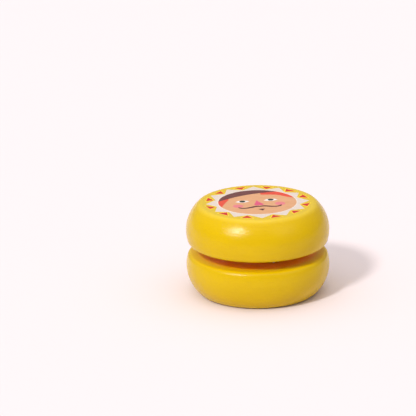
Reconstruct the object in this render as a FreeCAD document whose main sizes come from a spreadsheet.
import FreeCAD, Part
import math
import os
import Sketcher

# Wooden yo-yo lying on its flat side: two turned halves glued on a dowel axle, a printed face on each
# flat side, and a twisted cotton string wound on the axle, with its finger loop tucked in the gap.
# Millimetres. +Z is the axis of the axle, and the origin is the middle of the underside.

DRIVING_DIMENSIONS = {
    "outer_diameter": (58.0, "widest diameter of both halves"),
    "side_bulge": (5.4, "how far the side stands out past the corner of the flat face"),
    "half_thickness": (16.5, "wood of one half, from its inner face to its flat face"),
    "string_gap": (4.2, "room between the two inner faces"),
    "side_height": (5.2, "height of the widest place above the inner face"),
    "lip_radius": (1.8, "rounding of the inner edge, where the string enters"),
    "shoulder_radius": (2.9, "rounding between the side and the flat face"),
    "axle_diameter": (8.0, "dowel that joins the halves"),
    "axle_chamfer": (0.6, "chamfer on both ends of the dowel"),
    "socket_depth": (10.0, "straight depth of the blind hole in each half"),
    "glue_film": (0.02, "radial room for glue round the dowel"),
    "glue_pocket": (0.5, "room left past the end of the dowel"),
    "drill_angle": (118.0, "point angle of the drill that made the socket"),
    "print_margin": (2.0, "from the face's corner in to the edge of the printed ink"),
    "print_thickness": (0.1, "thickness of the ink and its varnish"),
    "string_diameter": (1.3, "twisted cotton string"),
    "winding_radius": (12.9, "outer radius of the wound string"),
    "winding_round": (0.5, "rounded edges of the winding"),
    "running_clearance": (0.05, "room between the string and the wood"),
    "knot_length": (4.4, "overhand knot, along the string"),
    "knot_width": (3.4, "overhand knot, across the string"),
    "knot_height": (3.4, "overhand knot, from the lower inner face up"),
    "knot_offset": (3.6, "middle of the knot, out from the winding"),
    "knot_bearing": (-68.0, "direction of the knot, degrees round from +X"),
}

# The side is one arc through the widest place and the face's corner, and this is its radius.
SIDE_RADIUS = "( side_bulge ^ 2 + ( half_thickness - side_height ) ^ 2 ) / ( 2 * side_bulge )"

# The loose end of the string, as (bearing round the axle in degrees, distance out from the winding).
# The tail leaves the winding and enters the knot; the loop leaves the knot and comes back to it.
TAIL_ROUTE = [(-176, -0.7), (-152, -0.1), (-127, 0.5), (-104, 0.7), (-88, 0.8), (-79, 1.5), (-72.5, 2.7)]
LOOP_ROUTE = [(-67, 2.7), (-56, 1.2), (-42, 0.85), (-24, 0.85), (-6, 0.9), (10, 1.1), (23, 1.2),
              (35, 1.2), (46.5, 1.4), (57, 2.8), (60.7, 5.6), (58.4, 8.5), (52.5, 10.5), (44, 11.3),
              (34, 11.1), (22, 10.3), (7, 8.8), (-9, 6.2), (-25, 3.7), (-40, 2.45), (-52, 2.6), (-63, 3.6)]

document = FreeCAD.newDocument("yo_yo")
sheet = document.addObject("Spreadsheet::Sheet", "Dimensions")


def fill_sheet():
    """Write the driving dimensions, one row each: value, then what it is."""
    for row, (alias, (value, meaning)) in enumerate(DRIVING_DIMENSIONS.items(), start=1):
        sheet.set(f"A{row}", str(value))
        sheet.setAlias(f"A{row}", alias)
        sheet.set(f"B{row}", meaning)
    document.recompute()


def size(alias):
    """A driving dimension's value, for the few shapes that are made in code."""
    return float(sheet.get(alias))


def bind(thing, **formulas):
    """Bind properties of an object to formulas of the driving dimensions, which are named bare."""
    for name, formula in formulas.items():
        thing.setExpression(name.replace("__", "."), in_sheet(formula))


def in_sheet(formula):
    """The same formula with each driving dimension written as a cell of the sheet."""
    words = []
    for word in formula.split():
        words.append(f"Dimensions.{word}" if word in DRIVING_DIMENSIONS else word)
    return " ".join(words)


def new_body(label):
    body = document.addObject("PartDesign::Body", label)
    body.Label = label
    return body


def sketch_on(body, role, name):
    """An empty sketch on one of the body's own origin planes."""
    sketch = body.newObject("Sketcher::SketchObject", name)
    plane = [plane for plane in body.Origin.OriginFeatures if plane.Role == role][0]
    sketch.AttachmentSupport = (plane, [""])
    sketch.MapMode = "FlatFace"
    return sketch


def constrain(sketch, name, formula, start, *arguments):
    """Add a named dimension to a sketch and bind it to the sheet. The start value is the drawn one."""
    index = sketch.addConstraint(Sketcher.Constraint(arguments[0], *arguments[1:], start))
    sketch.renameConstraint(index, name)
    sketch.setExpression(f"Constraints.{name}", in_sheet(formula))


def join_ends(sketch, lines):
    """Close an outline whose pieces are listed in order, each as (index, first point, last point)."""
    for (index, _, last), (following, first, _) in zip(lines, lines[1:] + lines[:1]):
        sketch.addConstraint(Sketcher.Constraint("Coincident", index, last, following, first))


def revolve(body, sketch, name):
    turned = body.newObject("PartDesign::Revolution", name)
    turned.Profile = sketch
    turned.ReferenceAxis = (sketch, ["V_Axis"])
    turned.Angle = 360
    sketch.Visibility = False
    document.recompute()
    return turned


def round_edges_at(body, base, height, name, formula, kind="PartDesign::Fillet", outermost=True):
    """Round or chamfer the circular edge of a turned shape that lies at a height, outermost or innermost."""
    rings = []
    for index, edge in enumerate(base.Shape.Edges, start=1):
        level = abs(edge.BoundBox.ZMin - height) < 1e-4 and edge.BoundBox.ZLength < 1e-4
        if level and isinstance(edge.Curve, Part.Circle):
            rings.append((edge.Curve.Radius, f"Edge{index}"))
    rings.sort()
    chosen = rings[-1][1] if outermost else rings[0][1]
    feature = body.newObject(kind, name)
    feature.Base = (base, [chosen])
    bind(feature, **{"Size" if kind.endswith("Chamfer") else "Radius": formula})
    document.recompute()
    return feature


def draw_half_profile(sketch):
    """Half the section of one turned half: inner face on the X axis, axis of turning on the Y axis."""
    outer_radius = size("outer_diameter") / 2
    bulge = size("side_bulge")
    side_height = size("side_height")
    thickness = size("half_thickness")
    side_radius = (bulge ** 2 + (thickness - side_height) ** 2) / (2 * bulge)
    centre = FreeCAD.Vector(outer_radius - side_radius, side_height, 0)
    start_angle = -math.asin(side_height / side_radius)
    end_angle = math.asin((thickness - side_height) / side_radius)
    inner_edge = centre.x + side_radius * math.cos(start_angle)
    flat_edge = centre.x + side_radius * math.cos(end_angle)

    corner = FreeCAD.Vector(0, thickness, 0)
    inner_face = Part.LineSegment(FreeCAD.Vector(0, 0, 0), FreeCAD.Vector(inner_edge, 0, 0))
    side = Part.ArcOfCircle(Part.Circle(centre, FreeCAD.Vector(0, 0, 1), side_radius), start_angle, end_angle)
    flat_face = Part.LineSegment(FreeCAD.Vector(flat_edge, thickness, 0), corner)
    middle = Part.LineSegment(corner, FreeCAD.Vector(0, 0, 0))
    sketch.addGeometry([inner_face, side, flat_face, middle], False)

    join_ends(sketch, [(0, 1, 2), (1, 1, 2), (2, 1, 2), (3, 1, 2)])
    sketch.addConstraint(Sketcher.Constraint("Coincident", 0, 1, -1, 1))
    sketch.addConstraint(Sketcher.Constraint("Horizontal", 0))
    sketch.addConstraint(Sketcher.Constraint("Horizontal", 2))
    sketch.addConstraint(Sketcher.Constraint("Vertical", 3))
    constrain(sketch, "side_radius", SIDE_RADIUS, side_radius, "Radius", 1)
    constrain(sketch, "thickness", "half_thickness", thickness, "DistanceY", 0, 1, 2, 2)
    constrain(sketch, "arc_height", "side_height", side_height, "DistanceY", -1, 1, 1, 3)
    reach = f"outer_diameter / 2 - {SIDE_RADIUS}"
    constrain(sketch, "arc_reach", reach, centre.x, "DistanceX", -1, 1, 1, 3)


def make_half(label, facing_up):
    """One turned half with its rounded edges and its blind socket for the dowel."""
    body = new_body(label)
    profile = sketch_on(body, "XZ_Plane", f"{label}_profile")
    draw_half_profile(profile)
    turned = revolve(body, profile, f"{label}_turned")
    lip = round_edges_at(body, turned, 0, f"{label}_lip", "lip_radius")
    shoulder = round_edges_at(body, lip, size("half_thickness"), f"{label}_shoulder", "shoulder_radius")
    solid_volume = shoulder.Shape.Volume

    circle = sketch_on(body, "XY_Plane", f"{label}_socket_circle")
    socket_radius = size("axle_diameter") / 2 + size("glue_film")
    circle.addGeometry(Part.Circle(FreeCAD.Vector(0, 0, 0), FreeCAD.Vector(0, 0, 1), socket_radius), False)
    circle.addConstraint(Sketcher.Constraint("Coincident", 0, 3, -1, 1))
    constrain(circle, "radius", "axle_diameter / 2 + glue_film", socket_radius, "Radius", 0)
    document.recompute()

    socket = body.newObject("PartDesign::Hole", f"{label}_socket")
    socket.Profile = circle
    socket.ThreadType = "None"
    socket.HoleCutType = "None"
    socket.DepthType = "Dimension"
    socket.DrillPoint = "Angled"
    socket.Reversed = True
    bind(socket, Diameter="axle_diameter + 2 * glue_film")
    bind(socket, Depth="socket_depth", DrillPointAngle="drill_angle")
    document.recompute()
    removed = solid_volume - socket.Shape.Volume
    straight = math.pi * socket_radius ** 2 * size("socket_depth")
    if not straight * 0.99 < removed < straight * 1.3:
        raise RuntimeError(f"{label}: socket of {removed:.1f} mm3, expected about {straight:.1f}")

    if facing_up:
        bind(body, Placement__Base__z="print_thickness + half_thickness + string_gap")
    else:
        body.Placement.Rotation = FreeCAD.Rotation(FreeCAD.Vector(1, 0, 0), 180)
        bind(body, Placement__Base__z="print_thickness + half_thickness")
    return body


def make_axle():
    """The dowel, cut to reach nearly to the bottom of both sockets, with chamfered ends."""
    body = new_body("axle")
    circle = sketch_on(body, "XY_Plane", "axle_circle")
    radius = size("axle_diameter") / 2
    circle.addGeometry(Part.Circle(FreeCAD.Vector(0, 0, 0), FreeCAD.Vector(0, 0, 1), radius), False)
    circle.addConstraint(Sketcher.Constraint("Coincident", 0, 3, -1, 1))
    constrain(circle, "radius", "axle_diameter / 2", radius, "Radius", 0)
    dowel = body.newObject("PartDesign::Pad", "axle_dowel")
    dowel.Profile = circle
    bind(dowel, Length="string_gap + 2 * ( socket_depth - glue_pocket )")
    document.recompute()
    top = dowel.Shape.BoundBox.ZMax
    lower_end = round_edges_at(body, dowel, 0, "axle_lower_end", "axle_chamfer", "PartDesign::Chamfer")
    round_edges_at(body, lower_end, top, "axle_upper_end", "axle_chamfer", "PartDesign::Chamfer")
    bind(body, Placement__Base__z="print_thickness + half_thickness - socket_depth + glue_pocket")
    return body


def make_print(label, height):
    """The ink on one flat face, as a thin round film."""
    film = document.addObject("Part::Cylinder", label)
    film.Label = label
    bind(film, Radius="outer_diameter / 2 - side_bulge - print_margin", Height="print_thickness",
         Placement__Base__z=height)
    return film


def make_winding():
    """The wound string: a ring round the axle with a running fit, filling the gap."""
    body = new_body("string_winding")
    section = sketch_on(body, "XZ_Plane", "string_winding_section")
    inner = size("axle_diameter") / 2 + size("running_clearance")
    outer = size("winding_radius")
    height = size("string_gap") - 2 * size("running_clearance")
    corners = [FreeCAD.Vector(inner, 0, 0), FreeCAD.Vector(outer, 0, 0)]
    corners += [FreeCAD.Vector(outer, height, 0), FreeCAD.Vector(inner, height, 0)]
    section.addGeometry([Part.LineSegment(a, b) for a, b in zip(corners, corners[1:] + corners[:1])], False)
    join_ends(section, [(0, 1, 2), (1, 1, 2), (2, 1, 2), (3, 1, 2)])
    for index in (0, 2):
        section.addConstraint(Sketcher.Constraint("Horizontal", index))
    for index in (1, 3):
        section.addConstraint(Sketcher.Constraint("Vertical", index))
    section.addConstraint(Sketcher.Constraint("PointOnObject", 0, 1, -1))
    constrain(section, "bore", "axle_diameter / 2 + running_clearance", inner, "DistanceX", -1, 1, 0, 1)
    constrain(section, "reach", "winding_radius", outer, "DistanceX", -1, 1, 0, 2)
    constrain(section, "height", "string_gap - 2 * running_clearance", height, "DistanceY", 1, 1, 1, 2)
    ring = revolve(body, section, "string_winding_ring")
    lower = round_edges_at(body, ring, 0, "string_winding_lower", "winding_round")
    round_edges_at(body, lower, height, "string_winding_upper", "winding_round")
    bind(body, Placement__Base__z="print_thickness + half_thickness + running_clearance")
    return body


def make_knot():
    """The overhand knot that closes the finger loop, lying on the lower half's inner face."""
    knot = document.addObject("Part::Ellipsoid", "finger_knot")
    knot.Label = "finger_knot"
    bind(knot, Radius2="knot_length / 2", Radius3="knot_width / 2", Radius1="knot_height / 2")
    bearing = size("knot_bearing")
    knot.Placement.Rotation = FreeCAD.Rotation(FreeCAD.Vector(0, 0, 1), bearing + 90)
    bind(knot, Placement__Base__x="( winding_radius + knot_offset ) * cos( knot_bearing * 1deg )")
    bind(knot, Placement__Base__y="( winding_radius + knot_offset ) * sin( knot_bearing * 1deg )")
    floor = "print_thickness + half_thickness + running_clearance"
    bind(knot, Placement__Base__z=f"{floor} + knot_height / 2")
    return knot


def route_points(route):
    """The places of a route of (bearing, distance out) at the height where the string lies."""
    lying = size("print_thickness") + size("half_thickness") + size("running_clearance")
    height = lying + size("string_diameter") / 2
    places = []
    for bearing, outwards in route:
        turn = math.radians(bearing)
        distance = size("winding_radius") + outwards
        places.append(FreeCAD.Vector(distance * math.cos(turn), distance * math.sin(turn), height))
    return places


def rounded_path(points):
    """Straight runs joined by tangent arcs, as large as each pair of runs allows."""
    edges = []
    radii = []
    start = points[0]
    for before, corner, after in zip(points, points[1:], points[2:]):
        incoming = (corner - before).normalize()
        outgoing = (after - corner).normalize()
        half_turn = incoming.getAngle(outgoing) / 2
        shorter = min((corner - before).Length, (after - corner).Length)
        setback = 0.45 * shorter
        radius = setback / math.tan(half_turn)
        radii.append(radius)
        arc_start = corner - incoming * setback
        arc_end = corner + outgoing * setback
        to_middle = (outgoing - incoming).normalize()
        middle = corner + to_middle * (radius / math.cos(half_turn) - radius)
        edges.append(Part.LineSegment(start, arc_start).toShape())
        edges.append(Part.Arc(arc_start, middle, arc_end).toShape())
        start = arc_end
    edges.append(Part.LineSegment(start, points[-1]).toShape())
    return Part.Wire(edges), radii


def make_string_run(label, route):
    """A round tube of the string's diameter along a route."""
    points = route_points(route)
    path, radii = rounded_path(points)
    radius = size("string_diameter") / 2
    section = Part.Wire(Part.Circle(points[0], points[1] - points[0], radius).toShape())
    tube = path.makePipeShell([section], True, False)
    expected = math.pi * radius ** 2 * path.Length
    if abs(tube.Volume - expected) > 0.01 * expected:
        raise RuntimeError(f"{label}: volume {tube.Volume:.2f} mm3, expected {expected:.2f}")
    print(f"{label}: length {path.Length:.1f} mm, bend radii " + " ".join(f"{bend:.1f}" for bend in radii))
    run = document.addObject("Part::Feature", label)
    run.Label = label
    run.Shape = tube
    return run


def check_and_write(pieces):
    """Refuse a failed object or a bad solid, then write one STEP file for each piece."""
    document.recompute()
    failed = [thing.Name for thing in document.Objects if {"Invalid", "Error"} & set(thing.State)]
    if failed:
        raise RuntimeError(f"objects that failed: {failed}")
    for piece in pieces:
        shape = piece.Shape
        if shape.isNull() or not shape.isValid() or len(shape.Solids) != 1:
            raise RuntimeError(f"{piece.Label} is not one valid solid")
    os.makedirs("parts", exist_ok=True)
    for piece in pieces:
        piece.Shape.exportStep(f"parts/{piece.Label}.step")
        box = piece.Shape.BoundBox
        print(f"{piece.Label}: {piece.Shape.Volume:.1f} mm3, z {box.ZMin:.2f} to {box.ZMax:.2f}")


fill_sheet()
check_and_write([
    make_half("upper_half", facing_up=True),
    make_half("lower_half", facing_up=False),
    make_axle(),
    make_print("upper_print", "print_thickness + 2 * half_thickness + string_gap"),
    make_print("lower_print", "0 * print_thickness"),
    make_winding(),
    make_string_run("string_tail", TAIL_ROUTE),
    make_string_run("finger_loop", LOOP_ROUTE),
    make_knot(),
])
